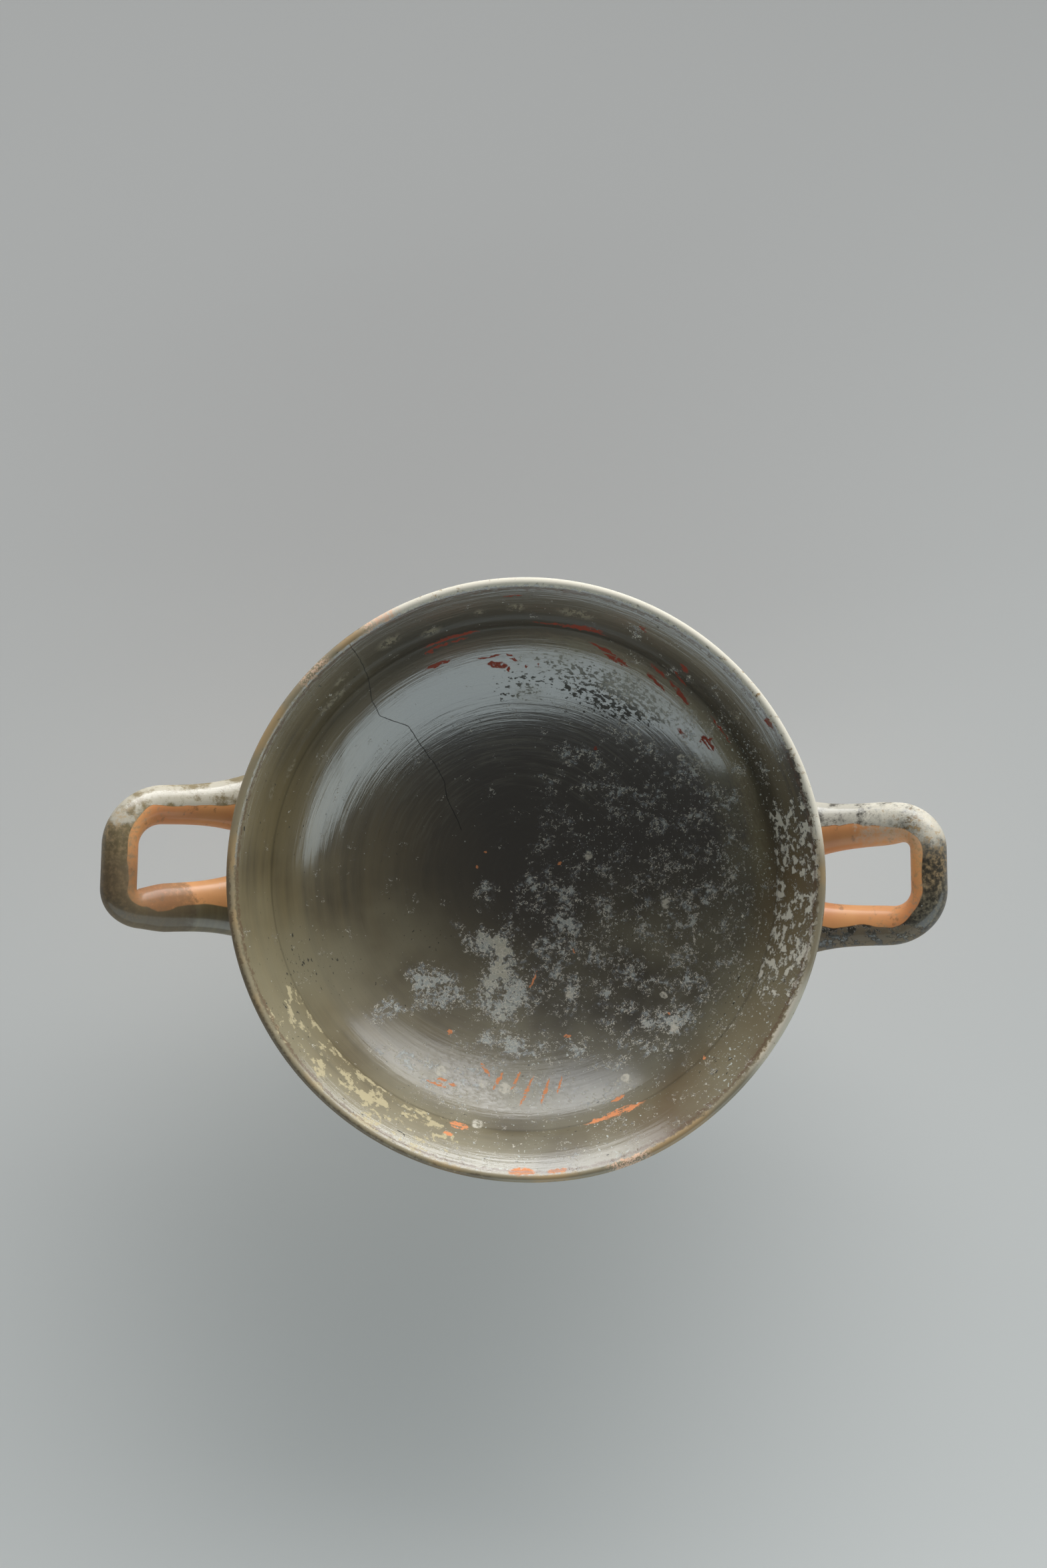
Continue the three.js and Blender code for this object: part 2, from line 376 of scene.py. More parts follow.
def combine(obj, tool, operation):
    """Adds or cuts one closed mesh by another, and deletes the other."""
    change = obj.modifiers.new("combine", "BOOLEAN")
    change.operation = operation
    change.object = tool
    change.solver = "MANIFOLD"
    shaped = bpy.data.meshes.new_from_object(obj.evaluated_get(bpy.context.evaluated_depsgraph_get()))
    obj.modifiers.clear()
    old, obj.data = obj.data, shaped
    bpy.data.meshes.remove(old)
    bpy.data.objects.remove(tool)


def core():
    """The space inside the middle of the bowl's wall, which the handles are cut back to."""
    edge = (RIDGE_RADIUS + SHOULDER_RADIUS) / 2
    mid_z = (FLOOR_Z + UNDERSIDE_Z) / 2
    wall = bowl_curve(mid_z, RIDGE_RADIUS * CORE_REACH, edge, RIDGE_Z - 0.6, 0, 40)
    return turned(np.concatenate([wall, [(RIDGE_RADIUS, HEIGHT), (0, HEIGHT)]]), 160)


def points_of(mesh):
    flat = np.empty(len(mesh.vertices) * 3)
    mesh.vertices.foreach_get("co", flat)
    return flat.reshape(-1, 3) / MM


def put_points(mesh, points):
    mesh.vertices.foreach_set("co", (points * MM).ravel())
    mesh.update()


def profile_place(points, profile):
    """For each point of the body, the nearest place on the profile and its distance."""
    wider, higher = sag(points)
    r = np.hypot(points[:, 0], points[:, 1]) / wider
    flat = np.stack([r, points[:, 2] - higher], -1)
    best = np.empty(len(points), int)
    gap = np.empty(len(points))
    for start in range(0, len(points), BLOCK):
        block = flat[start:start + BLOCK]
        away = ((block[:, None] - profile[None]) ** 2).sum(-1)
        best[start:start + BLOCK] = away.argmin(1)
        gap[start:start + BLOCK] = np.sqrt(away.min(1))
    return best, gap


def smear_roots(mesh, handles, profile):
    """Rounds the corner between each handle and the bowl, as wet clay is smeared over it."""
    points = points_of(mesh)
    closeness = np.zeros(len(points))
    near = (np.abs(points[:, 0]) > SMEAR_FROM_X) & (points[:, 2] > SMEAR_FROM_Z)
    some = np.flatnonzero(near)
    wall = profile_place(points[some], profile)[1]
    for handle in handles:
        mine = handle.side * points[some, 0] > 0
        rho, _, ring = handle.local(points[some])
        to_roll = np.maximum(0, rho - 1) * handle.half_height[ring]
        away = np.maximum(wall, to_roll)
        close = np.where(mine, np.exp(-((away / SMEAR_REACH) ** 2)), 0)
        closeness[some] = np.maximum(closeness[some], close)
    edges = np.empty(len(mesh.edges) * 2, int)
    mesh.edges.foreach_get("vertices", edges)
    a, b = edges.reshape(-1, 2).T
    count = np.bincount(a, minlength=len(points)) + np.bincount(b, minlength=len(points))
    for _ in range(SMEAR_PASSES):
        mean = np.empty_like(points)
        for axis in range(3):
            one = np.bincount(a, points[b, axis], len(points))
            mean[:, axis] = (one + np.bincount(b, points[a, axis], len(points))) / count
        points += (mean - points) * (0.5 * closeness)[:, None]
    put_points(mesh, points)


def triangulate(mesh):
    shaped = bmesh.new()
    shaped.from_mesh(mesh)
    bmesh.ops.triangulate(shaped, faces=[f for f in shaped.faces if len(f.verts) > 4])
    shaped.to_mesh(mesh)
    shaped.free()


def fit_to_solid(mesh):
    """Sets the mesh exactly into the solid's box."""
    points = points_of(mesh)
    low, high = points.min(0), points.max(0)
    want_low, want_high = np.array(node_low) / MM, np.array(node_high) / MM
    put_points(mesh, want_low + (points - low) / (high - low) * (want_high - want_low))


def cup():
    profile, crest = body_profile()
    handles = [Handle(*shape) for shape in HANDLES]
    obj = new_object("kylix_cup", *turned(profile, TURNS))
    for handle in handles:
        roll = new_object("roll", *handle.mesh())
        combine(roll, new_object("core", *core()), "DIFFERENCE")
        combine(obj, roll, "UNION")
    triangulate(obj.data)
    mark_regions(obj.data, profile, crest, handles)
    smear_roots(obj.data, handles, profile)
    fit_to_solid(obj.data)
    obj.data.polygons.foreach_set("use_smooth", [True] * len(obj.data.polygons))
    return obj


# ---------------------------------------------------------------- where things are on the cup

# Soft patches of lime: angle and radius of the middle, length round the cup, width, thickness.
LIME_PATCHES = (
    (-115, 23.5, 30, 12, 0.98), (-99, 36, 22, 28, 1.08), (-128, 43, 26, 20, 0.86),
    (-96, 50, 24, 13, 0.80), (-135, 59, 11, 14, 0.85), (-56, 21.5, 24, 15, 0.78),
    (-149, 11.5, 11, 11, 0.72), (-35, 4.3, 7, 7, 0.76), (-40, 61, 42, 26, 0.66),
    (-45, 40, 30, 26, 0.66), (-14, 50, 26, 24, 0.62), (-118, 66, 40, 12, 0.70),
)
LIP_SCUFFS = (
    (120, 82.1, 9, 3, 1), (111, 79.5, 7, 2.6, 1), (137, 78.8, 14, 2.6, 1), (133, 81.5, 6, 1.6, 1),
    (92, 81.7, 6, 2.4, 1), (79, 81.2, 13, 3, 1), (100, 81.3, 4, 1.6, 1), (155, 78.0, 9, 1.6, 1),
    (161, 80.5, 6, 1.4, 1), (38, 80.0, 5, 3, 1),
)

# Sharp marks in groups that lie the same way: their tilt from the turning, a radius near them,
# and for each its angle, radius, length and width.
ORANGE_MARKS = (
    (-6, 68, ((-113, 68.1, 6.4, 1.0), (-112, 66.4, 3.4, 0.8), (-67, 72.8, 4.5, 0.8))),
    (0, 78, (
        (-69, 76.6, 19.0, 1.0), (-68, 76.2, 9.8, 1.6), (-105, 77.1, 5.9, 1.6),
        (-91, 87.4, 7.0, 2.2), (-84, 87.6, 5.0, 1.4), (-69, 90.0, 7.5, 2.2),
        (-107, 80.0, 3.0, 1.0), (-109, 66.7, 3.1, 0.6), (-45, 76.8, 1.0, 0.8),
    )),
    (-62, 64, (
        (-97, 62.8, 6.0, 0.9), (-92, 62.4, 6.0, 0.8), (-89, 65.2, 9.0, 0.8),
        (-84, 65.4, 7.6, 0.8), (-80, 64.4, 5.0, 0.7), (-43, 61.3, 1.1, 0.7),
    )),
    (46, 60, ((-101, 60.1, 4.8, 1.0),)),
    (20, 50, ((-115, 52.6, 1.7, 1.7), (-74, 51.0, 2.0, 1.0))),
    (-60, 30, ((-83, 32.3, 5.3, 0.6), (-55, 28.7, 2.0, 0.5))),
    (60, 13, ((169, 13.7, 0.8, 0.8), (17, 12.7, 1.6, 1.2), (147, 13.0, 0.9, 0.7))),
)
RED_MARKS = (
    (0, 75, (
        (107, 76.1, 16.6, 1.0), (108, 74.7, 12.0, 0.7), (113, 74.2, 2.6, 1.2),
        (112, 69.8, 9.0, 1.0), (99, 67.9, 8.0, 0.6), (80, 77.3, 22.0, 0.6),
        (76, 77.8, 9.3, 1.0), (36, 69.5, 6.4, 1.7), (42, 65.4, 4.6, 0.9),
        (33, 86.4, 3.3, 1.4), (93, 85.1, 5.8, 0.5), (37, 74.7, 10.0, 0.4),
    )),
    (11, 72, (
        (97, 65.3, 7.0, 1.8), (94, 63.6, 1.2, 1.4), (89, 64.5, 0.8, 1.2), (86, 64.8, 0.9, 1.3),
        (69, 72.9, 15.3, 0.9), (68, 71.8, 8.0, 0.8), (56, 71.8, 8.0, 0.9), (50, 73.3, 9.3, 1.1),
        (57, 74.7, 6.5, 0.9), (52, 76.5, 5.7, 0.6), (53, 79.4, 3.2, 1.1), (65, 82.9, 3.0, 0.7),
    )),
    (38, 67, ((93, 67.0, 4.0, 0.9),)),
    (-62, 69, ((37, 69.4, 4.4, 0.9),)),
    (38, 45, ((60, 45.4, 1.1, 1.0),)),
)
ROUND_SPOTS = (
    (0, 64, (
        (-40, 56.7, 2.2, 2.2), (-45, 65.1, 2.4, 2.2), (-63, 68.6, 2.6, 2.2),
        (-113, 64.2, 3.4, 3.0), (-101, 75.6, 2.8, 2.2), (-101, 64.4, 2.6, 2.4),
        (-95, 64.6, 4.0, 3.0), (37, 60.5, 2.2, 2.0),
    )),
    (0, 42, ((-11, 45.3, 2.6, 2.4), (-68, 39.6, 2.4, 2.2))),
    (0, 22, ((16, 21.8, 2.6, 2.4),)),
)
CRACK = (
    (126.8, 91), (127.1, 82.6), (127.7, 77.8), (130.7, 70.4), (131.5, 65.5), (127.2, 57.8),
    (127.3, 54.3), (127.9, 47.1), (127.6, 43.2), (129.2, 37.7), (133.3, 33.3), (142.2, 23.1),
)


def polar(angle, radius):
    turn = math.radians(angle)
    return radius * math.cos(turn), radius * math.sin(turn), 0


class Ground:
    """The mesh's points as places on the cup, for laying out where each kind of wear is."""

    def __init__(self, points):
        self.x, self.y, self.z = points.T
        self.radius = np.hypot(self.x, self.y)
        self.angle = np.degrees(np.arctan2(self.y, self.x))

    def sector(self, start, end, soft=6):
        """1 between two angles, and 0 from soft degrees beyond them."""
        away = np.abs((self.angle - (start + end) / 2 + 180) % 360 - 180)
        return 1 - smooth(0, soft, away - (end - start) / 2)

    def band(self, inner, outer, soft=1.0):
        return smooth(inner - soft, inner, self.radius) * (1 - smooth(outer, outer + soft, self.radius))

    def patches(self, rows):
        """The greatest strength of any soft patch at each point."""
        total = np.zeros(len(self.x))
        for angle, radius, length, width, strength in rows:
            middle = polar(angle, radius)
            turn = math.radians(angle)
            dx, dy = self.x - middle[0], self.y - middle[1]
            out = dx * math.cos(turn) + dy * math.sin(turn)
            along = dy * math.cos(turn) - dx * math.sin(turn)
            away = np.hypot(along / (length / 2), out / (width / 2))
            total = np.maximum(total, strength * (1 - smooth(0.35, 1.15, away)))
        return total


def wear_fields(ground, inside):
    """How strongly each kind of colour, wear and painted light shows at each point, before the
    shader's noise breaks it up."""
    lip = ground.band(76.6, 92, 0.8) * inside
    # The olive side faces the key light and is painted lighter: partly the glaze's own tone, partly
    # painted light.
    olive_lit_side = ground.sector(165, 240, 55) * smooth(0, 95, ground.radius)
    brown = ground.sector(-62, -8, 30) * smooth(68, 80, ground.radius) * inside
    tint = ground.sector(8, 84, 14) * ground.band(65, 72, 5)
    right = ground.sector(-95, 50, 45) * (1 - smooth(62, 76, ground.radius) * 0.5)
    lime = np.maximum(ground.patches(LIME_PATCHES), right * 0.5)
    # The lower wall: its gloss is duller, and its colour is painted paler as a painted sheen.
    lower = ground.sector(205, 330, 45) * smooth(8, 50, ground.radius)
    crust = np.maximum(ground.sector(-24, 14, 8), ground.sector(14, 40, 20) * 0.45)
    cream = np.maximum(ground.sector(-152, -108, 10), ground.sector(-108, -30, 20) * 0.35)
    rim_chips = np.maximum(ground.sector(117, 122, 2), ground.sector(133, 138, 2) * 0.7)
    return {
        "olive_lit_side": olive_lit_side,
        "brown": brown,
        "lower": lower * inside,
        # Brush streaks, shown paler mostly above the middle where the gloss reflects the light: real
        # streaks, with a painted reflection.
        "brushed_and_sheen": 0.08 + 0.92 * ground.sector(60, 150, 30) * ground.band(34, 66, 12),
        "pits": ground.patches(((66, 62, 60, 19, 0.19), (90, 59, 26, 14, 0.13))) * inside,
        "dull": ground.patches(((-98, 62, 62, 28, 1),)) * inside,
        "tint": np.maximum(tint, ground.patches(((88, 56, 12, 8, 0.8),))) * inside,
        "lime": lime * inside,
        "crust": crust * lip,
        "cream": cream * lip,
        "scuffs": ground.patches(LIP_SCUFFS) * lip,
        "crumbs": ground.sector(-105, 30, 35) * inside,
        # Chalk on the rim; from about 65 to 116 degrees, on the side facing the key light, it is a
        # painted highlight along the crest.
        "rim_chalk_and_highlight": np.maximum(ground.sector(12, 116, 10), ground.sector(-36, -24, 8) * 0.7),
        # Darker brown on the outside of the rim along its lower-left part.
        "rim_outside_darker": ground.sector(-180, -100, 8),
        "rim_chips": np.maximum(rim_chips, ground.sector(-73, -67, 2)),
        # Chalk on the handles' upper arms, which face the key light; partly a painted highlight on
        # their tops.
        "handle_chalk_and_highlight": np.maximum(ground.sector(6, 17, 5), ground.sector(161, 171, 4)),
        "handle_dirt": ground.sector(-18, -8, 4),
    }


def mark_regions(mesh, profile, crest, handles):
    """Stores what the materials need to know about each point: which side of the rim it is on and
    how far from it, whether and where it is on a handle, and the wear and painted light there."""
    points = points_of(mesh)
    place, gap = profile_place(points, profile)
    steps = np.linalg.norm(np.diff(profile, axis=0), axis=1)
    run = np.concatenate([[0], np.cumsum(steps)])
    inside = (place > crest).astype(float)
    on_handle = np.zeros(len(points))
    inner = np.zeros(len(points))
    bar = np.zeros(len(points))
    off_body = np.flatnonzero(gap > BODY_GAP)
    for handle in handles:
        mine = off_body[handle.side * points[off_body, 0] > 0]
        _, across, ring = handle.local(points[mine])
        on_handle[mine] = 1
        inner[mine] = across
        bar[mine] = handle.bar[ring]
    inside[on_handle > 0] = 0
    resting = int(np.argmin(profile[:, 1]))
    values = {
        "inside": inside,
        "hollow": (place <= resting).astype(float),
        "from_rim": run[crest] - run[place],
        "handle": on_handle,
        "inner": inner,
        "bar": bar,
        **wear_fields(Ground(points), inside),
    }
    for name, value in values.items():
        layer = mesh.attributes.new(name, "FLOAT", "POINT")
        layer.data.foreach_set("value", value.astype(np.float32))


# ---------------------------------------------------------------- shader nodes


def srgb(*values):
    """A colour given as 0-255 screen values, as the linear values that shaders take."""
    unit = [v / 255 for v in values]
    return tuple(v / 12.92 if v <= 0.04045 else ((v + 0.055) / 1.055) ** 2.4 for v in unit) + (1,)


class Number:
    """A number that varies over the surface, with arithmetic that adds the nodes for it."""

    def __init__(self, nodes, socket):
        self.nodes = nodes
        self.socket = socket

    def __add__(self, other):
        return self.nodes.math("ADD", self, other)

    def __sub__(self, other):
        return self.nodes.math("SUBTRACT", self, other)

    def __rsub__(self, other):
        return self.nodes.math("SUBTRACT", other, self)

    def __mul__(self, other):
        return self.nodes.math("MULTIPLY", self, other)

    __radd__ = __add__
    __rmul__ = __mul__

    def rise(self, low, high):
        """0 below low and 1 above high, with a smooth step between."""
        return self.nodes.step(self, low, high, 0, 1)

    def fall(self, low, high):
        return self.nodes.step(self, low, high, 1, 0)


class Nodes:
    """One material, and short ways to add nodes to it."""

    def __init__(self, name):
        self.material = bpy.data.materials.new(name)
        self.material.use_nodes = True
        self.tree = self.material.node_tree
        self.shader = self.tree.nodes["Principled BSDF"]

    def feed(self, socket, value):
        value = getattr(value, "socket", value)
        if isinstance(value, bpy.types.NodeSocket):
            self.tree.links.new(value, socket)
        else:
            socket.default_value = value

    def add(self, kind, inputs, **settings):
        node = self.tree.nodes.new("ShaderNode" + kind)
        for name, value in settings.items():
            setattr(node, name, value)
        for name, value in inputs.items():
            self.feed(node.inputs[name], value)
        return node

    def math(self, operation, first, second):
        return Number(self, self.add("Math", {0: first, 1: second}, operation=operation).outputs[0])

    def most(self, first, second):
        return self.math("MAXIMUM", first, second)

    def least(self, first, second):
        return self.math("MINIMUM", first, second)

    def step(self, value, low, high, start, end):
        inputs = {"Value": value, "From Min": low, "From Max": high, "To Min": start, "To Max": end}
        made = self.add("MapRange", inputs, interpolation_type="SMOOTHSTEP")
        return Number(self, made.outputs["Result"])

    def vector(self, operation, *values):
        inputs = dict(enumerate(values))
        return self.add("VectorMath", inputs, operation=operation).outputs["Vector"]

    def scaled(self, vector, factor):
        inputs = {0: vector, "Scale": factor}
        return self.add("VectorMath", inputs, operation="SCALE").outputs["Vector"]

    def measure(self, operation, *values):
        inputs = dict(enumerate(values))
        return Number(self, self.add("VectorMath", inputs, operation=operation).outputs["Value"])

    def combined(self, x, y, z=0):
        return self.add("CombineXYZ", {0: x, 1: y, 2: z}).outputs[0]

    def split(self, vector):
        return [Number(self, socket) for socket in self.add("SeparateXYZ", {0: vector}).outputs]

    def attribute(self, name):
        return Number(self, self.add("Attribute", {}, attribute_name=name).outputs["Fac"])

    def noise(self, at, size, detail=4, roughness=0.5, seed=0):
        """Noise about 0.5 with features of the given size, in the units of at."""
        if seed:
            offset = (7.3 * seed, 3.1 * seed, 5.7 * seed)
            at = self.add("Mapping", {"Vector": at, "Location": offset}).outputs[0]
        inputs = {"Vector": at, "Scale": 1 / size, "Detail": detail, "Roughness": roughness}
        return Number(self, self.add("TexNoise", inputs).outputs["Fac"])

    def shaken(self, at, size, reach, detail=3, seed=0):
        """A vector moved about by noise, up to about reach each way, for ragged outlines."""
        moved = self.vector("ADD", at, (5.9 * seed, 2.3 * seed, 8.1 * seed))
        inputs = {"Vector": moved, "Scale": 1 / size, "Detail": detail}
        colour = self.add("TexNoise", inputs).outputs["Color"]
        parts = self.add("SeparateColor", {0: colour}).outputs
        drift = self.vector("SUBTRACT", self.combined(*parts), (0.5, 0.5, 0.5))
        return self.vector("MULTIPLY_ADD", drift, (4 * reach,) * 3, at)

    def dots(self, at, spacing, largest, share):
        """1 in scattered dots of many sizes, in about the given share of the cells."""
        cell = self.add("TexVoronoi", {"Vector": at, "Scale": 1 / spacing})
        chance = Number(self, self.add("SeparateColor", {0: cell.outputs["Color"]}).outputs[0])
        size = chance.rise(1 - share, 1) * (largest / spacing)
        return (size - Number(self, cell.outputs["Distance"])).rise(0, 0.03)

    def mix(self, share, first, second):
        return self.add("Mix", {0: share, 6: first, 7: second}, data_type="RGBA").outputs[2]

    def blend(self, share, first, second):
        made = self.add("Mix", {0: share, 2: first, 3: second}, data_type="FLOAT")
        return Number(self, made.outputs[0])


class Seen:
    """Places on the cup as seen from above, for marks that are sharper than the mesh."""

    def __init__(self, nodes, at):
        self.nodes = nodes
        self.flat = nodes.vector("MULTIPLY", at, (1, 1, 0))
        x, y, _ = nodes.split(at)
        self.radius = nodes.measure("LENGTH", self.flat)
        self.angle = nodes.math("ARCTAN2", y, x)
        self.spread = nodes.combined(self.angle, self.radius)

    def marks(self, groups, soft=0.15):
        """1 inside any of the marks in the groups."""
        n = self.nodes
        nearest = None
        for tilt, middle, rows in groups:
            lean = math.radians(tilt)
            along = np.array((math.cos(lean) * middle, math.sin(lean), 0))
            across = np.array((-math.sin(lean) * middle, math.cos(lean), 0))
            turned = n.combined(
                n.measure("DOT_PRODUCT", self.spread, along),
                n.measure("DOT_PRODUCT", self.spread, across),
            )
            for angle, radius, length, width in rows:
                place = np.array((math.radians(angle), radius, 0))
                size = np.array((2 / length, 2 / width, 0))
                start = np.array((place @ along, place @ across, 0))
                local = n.vector("MULTIPLY_ADD", turned, size, -start * size)
                away = n.measure("LENGTH", local)
                nearest = away if nearest is None else n.least(nearest, away)
        return nearest.fall(1 - soft, 1 + soft)

    def line(self, places):
        """Distance in millimetres from a line through places given by angle and radius."""
        n = self.nodes
        stops = [Vector(polar(*place)) for place in places]
        nearest = None
        for start, end in zip(stops, stops[1:]):
            step = end - start
            away = n.vector("SUBTRACT", self.flat, start)
            share = n.measure("DOT_PRODUCT", away, step / step.length_squared)
            share = n.add("Clamp", {"Value": share}).outputs[0]
            gap = n.measure("DISTANCE", away, n.scaled(tuple(step), share))
            nearest = gap if nearest is None else n.least(nearest, gap)
        return nearest


class Surface:
    """A shader's colour, roughness, coat and relief, with layers laid one over another."""

    def __init__(self, nodes, colour, roughness, coat):
        self.nodes = nodes
        self.colour = colour
        self.roughness = roughness
        self.coat = coat
        self.height = None

    def lay(self, cover, colour=None, roughness=None, coat=None, height=None):
        if colour is not None:
            self.colour = self.nodes.mix(cover, self.colour, colour)
        if roughness is not None:
            self.roughness = self.nodes.blend(cover, self.roughness, roughness)
        if coat is not None:
            self.coat = self.nodes.blend(cover, self.coat, coat)
        if height is not None:
            self.raise_by(cover * height)

    def raise_by(self, millimetres):
        self.height = millimetres if self.height is None else self.height + millimetres

    def finish(self):
        nodes = self.nodes
        nodes.feed(nodes.shader.inputs["Base Color"], self.colour)
        nodes.feed(nodes.shader.inputs["Roughness"], self.roughness)
        nodes.feed(nodes.shader.inputs["Coat Weight"], self.coat)
        relief = nodes.add("Bump", {"Height": self.height, "Distance": MM, "Strength": 1})
        nodes.feed(nodes.shader.inputs["Normal"], relief.outputs["Normal"])
        nodes.feed(nodes.shader.inputs["Coat Normal"], relief.outputs["Normal"])


# ---------------------------------------------------------------- the cup's finish

BLACK_GLAZE = srgb(55, 49, 38)
# A light olive glaze: partly its own tone, partly painted light on the side facing the key light.
OLIVE_GLAZE_AND_LIGHT = srgb(136, 120, 84)
BROWN_GLAZE = srgb(104, 84, 54)
# Paler glaze for the lower wall, a painted sheen of the key light.
PALE_GLAZE_AND_SHEEN = srgb(142, 136, 112)
# Paler glaze: real wear beside the crack, and along the brush streaks a painted reflection of the
# light.
WORN_GLAZE_AND_SHEEN = srgb(112, 108, 90)
CLAY = srgb(236, 170, 108)
# The clay as it looks in shade; noise mixes it into the clay as darker patches, which are partly
# painted shade.
CLAY_IN_SHADE = srgb(200, 120, 74)
FRESH_CLAY = srgb(232, 156, 104)
RED_CLAY = srgb(142, 58, 38)
CHALK = srgb(216, 210, 194)
CREAM = srgb(200, 186, 148)
LIME = srgb(146, 154, 156)
LIME_THICK = srgb(206, 210, 204)
# A dark brown: dirt on the handles' clay, and the darker band outside the rim's lower-left part.
DARK_BROWN = srgb(92, 72, 50)
DULL_PIT = srgb(52, 49, 41)
YELLOW_TINT = srgb(120, 114, 88)
LIME_FILM = srgb(124, 124, 130)
SCUFF = srgb(148, 138, 114)
RIDGE_SHADE = srgb(40, 36, 28)
CHIP_CLAY = srgb(222, 144, 96)
CRACK_DARK = srgb(26, 22, 17)
RIM_TAN = srgb(178, 150, 108)
RIM_GREY = srgb(150, 138, 112)
RIM_LINE = srgb(96, 66, 44)
HANDLE_WEAR = srgb(118, 106, 88)
HANDLE_CRUST = srgb(134, 116, 92)
PAPER = srgb(226, 225, 223)


class CupFinish:
    """Black gloss over orange clay, long buried: its coordinates and each layer of its surface."""

    def __init__(self):
        n = self.nodes = Nodes("black_gloss")
        metres = n.add("TexCoord", {}).outputs["Object"]
        self.point = n.scaled(metres, 1 / MM)
        self.seen = Seen(n, self.point)
        self.height = n.split(self.point)[2]
        self.inside = n.attribute("inside")
        self.handle = n.attribute("handle")
        self.way = n.vector("NORMALIZE", self.seen.flat)
        self.along = n.combined(0, 0, self.seen.radius + self.height)
        self.grain = n.noise(self.point, 0.5, 2, seed=2)
        self.fine = n.noise(self.point, 1.6, 6, 0.7, seed=3)
        self.broad = n.noise(self.point, 26, 3, seed=4)
        self.brush = self.streaks(3.0, 1.1, seed=5)

    def streaks(self, turns, spacing, detail=4, seed=0):
        """Noise drawn out round the cup; turns sets how short the streaks are."""
        n = self.nodes
        spun = n.scaled(self.way, turns)
        at = n.vector("MULTIPLY_ADD", self.along, (1 / spacing,) * 3, spun)
        return n.noise(at, 1, detail, 0.6, seed)

    def glaze(self):
        """Brushed and fired unevenly: black, but khaki-green on one side and brown low on the lip.
        The khaki side faces the key light and is painted lighter, partly painted light; the lower
        wall is painted paler, a painted sheen; and the brush streaks are paler where the gloss
        reflects the light, partly a painted reflection.
        """
        n = self.nodes
        wide_brush = self.streaks(1.2, 5.0, seed=6)
        # Olive and lighter on the side facing the key light: partly the glaze's tone, partly painted
        # light.
        olive_lit_side = n.attribute("olive_lit_side") * (wide_brush * 0.5 + self.broad * 0.5).rise(0.1, 0.65)
        colour = n.mix(olive_lit_side, BLACK_GLAZE, OLIVE_GLAZE_AND_LIGHT)
        colour = n.mix(n.attribute("brown") * 0.9, colour, BROWN_GLAZE)
        # The lower wall is duller, and painted paler as a painted sheen.
        lower = n.attribute("lower")
        colour = n.mix(lower * self.broad.rise(0.2, 0.7) * 0.6, colour, PALE_GLAZE_AND_SHEEN)
        # Paler brush streaks, strongest where the gloss reflects the light: real streaks, partly
        # painted reflection.
        brushed_and_sheen = n.attribute("brushed_and_sheen")
        colour = n.mix(self.brush.rise(0.45, 0.75) * brushed_and_sheen * 0.45, colour, WORN_GLAZE_AND_SHEEN)
        rough = n.blend(lower, 0.33, 0.52) + (self.brush - 0.5) * 0.3
        surface = Surface(n, colour, rough, n.blend(lower, 1.0, 0.28))
        surface.raise_by((self.brush - 0.5) * brushed_and_sheen * 0.042)
        surface.raise_by((wide_brush - 0.5) * self.seen.radius.rise(8, 45) * 0.09)
        surface.raise_by((self.fine - 0.5) * 0.012)
        return surface

    def worn_patches(self, surface):
        """Dull pits in the gloss, most of them high on the wall beyond the middle."""
        n = self.nodes
        pitted = self.streaks(38, 1.3, 5, seed=7) + (self.broad - 0.5) * 0.3
        pits = (pitted + n.attribute("pits")).rise(0.68, 0.71)
        surface.lay(pits * self.inside, DULL_PIT, 0.7, 0.05)
        cover = n.attribute("tint") * (self.broad + pitted * 0.6).rise(0.62, 0.95)
        surface.lay(cover * 0.6, YELLOW_TINT, 0.5, 0.5)
        dull = n.attribute("dull") * (pitted * 0.5 + self.broad * 0.5).rise(0.35, 0.55)
        surface.lay(dull * 0.8, None, 0.62, 0.06)

    def deposit(self, surface):
        """Grey-white lime left by burial, in lace and curls, thickest below the middle."""
        n = self.nodes
        there = n.attribute("lime")
        cloud = n.noise(self.point, 7, 5, 0.72, seed=9)
        lace = n.noise(n.shaken(self.point, 1.6, 0.35, seed=8), 1.4, 3, 0.6, seed=17)
        over = cloud * 0.9 + lace * 0.5 + there * 0.30 - 0.90
        surface.lay(over.rise(-0.10, 0.08) * self.inside * 0.16, LIME_FILM, 0.5)
        solid = over.rise(0.03, 0.06) * self.fine.rise(0.28, 0.5) * self.inside
        surface.lay(solid * 0.42, LIME, 0.72, 0.2, 0.03)
        thick = over.rise(0.08, 0.12) * self.inside
        surface.lay(thick * 0.55, LIME_THICK, 0.85, 0.0, 0.04)
        surface.lay(thick * self.broad.rise(0.5, 0.62) * 0.4, CREAM)
        edge = n.math("ABSOLUTE", lace - 0.5, 0)
        where = (cloud + there * 0.30 + (self.fine - 0.5) * 0.8).rise(0.66, 0.72)
        surface.lay(edge.fall(0.008, 0.03) * where * self.inside * 0.95, CHALK, 0.85, 0, 0.03)

